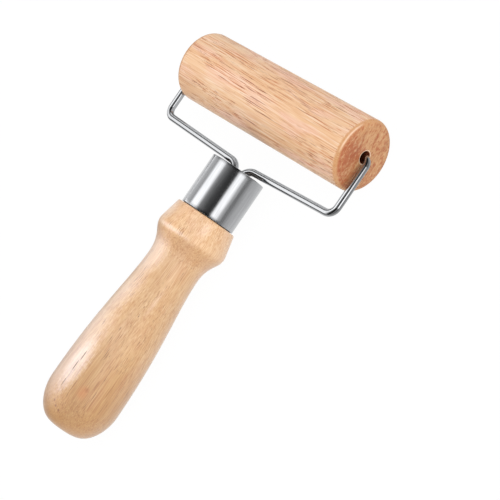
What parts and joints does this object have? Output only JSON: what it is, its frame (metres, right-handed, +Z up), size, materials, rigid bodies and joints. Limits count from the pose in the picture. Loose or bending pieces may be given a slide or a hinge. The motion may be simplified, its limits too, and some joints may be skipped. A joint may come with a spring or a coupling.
{
  "type": "rolling pin",
  "caption": "Hand-held dough roller: a turned wooden roller spins on a bent wire frame, whose tails are held in a turned wooden handle with a metal ferrule.",
  "frame": {"origin": "centre of the bounding box on the table that the tool lies on", "axes": "+X along the roller, +Y from the handle to the roller, +Z up from the table"},
  "size_m": [0.1184, 0.1912, 0.0354],
  "materials": {
    "roller_wood": "turned and sanded, satin clear coat, fine dark pores along the roller",
    "handle_wood": "turned and sanded, satin clear lacquer, grain along the handle",
    "wire": "polished plated steel wire",
    "ferrule": "polished plated steel tube"
  },
  "bodies": {
    "handle_and_frame": {"handle": "handle_wood", "ferrule": "ferrule", "wire_frame": "wire"},
    "roller": {"roller": "roller_wood"}
  },
  "joints": [
    {"name": "roller_spin", "type": "hinge", "parent": "handle_and_frame", "child": "roller", "pos_m": [0, 0.07863, 0.0177], "axis": [1, 0, 0], "continuous": true}
  ]
}
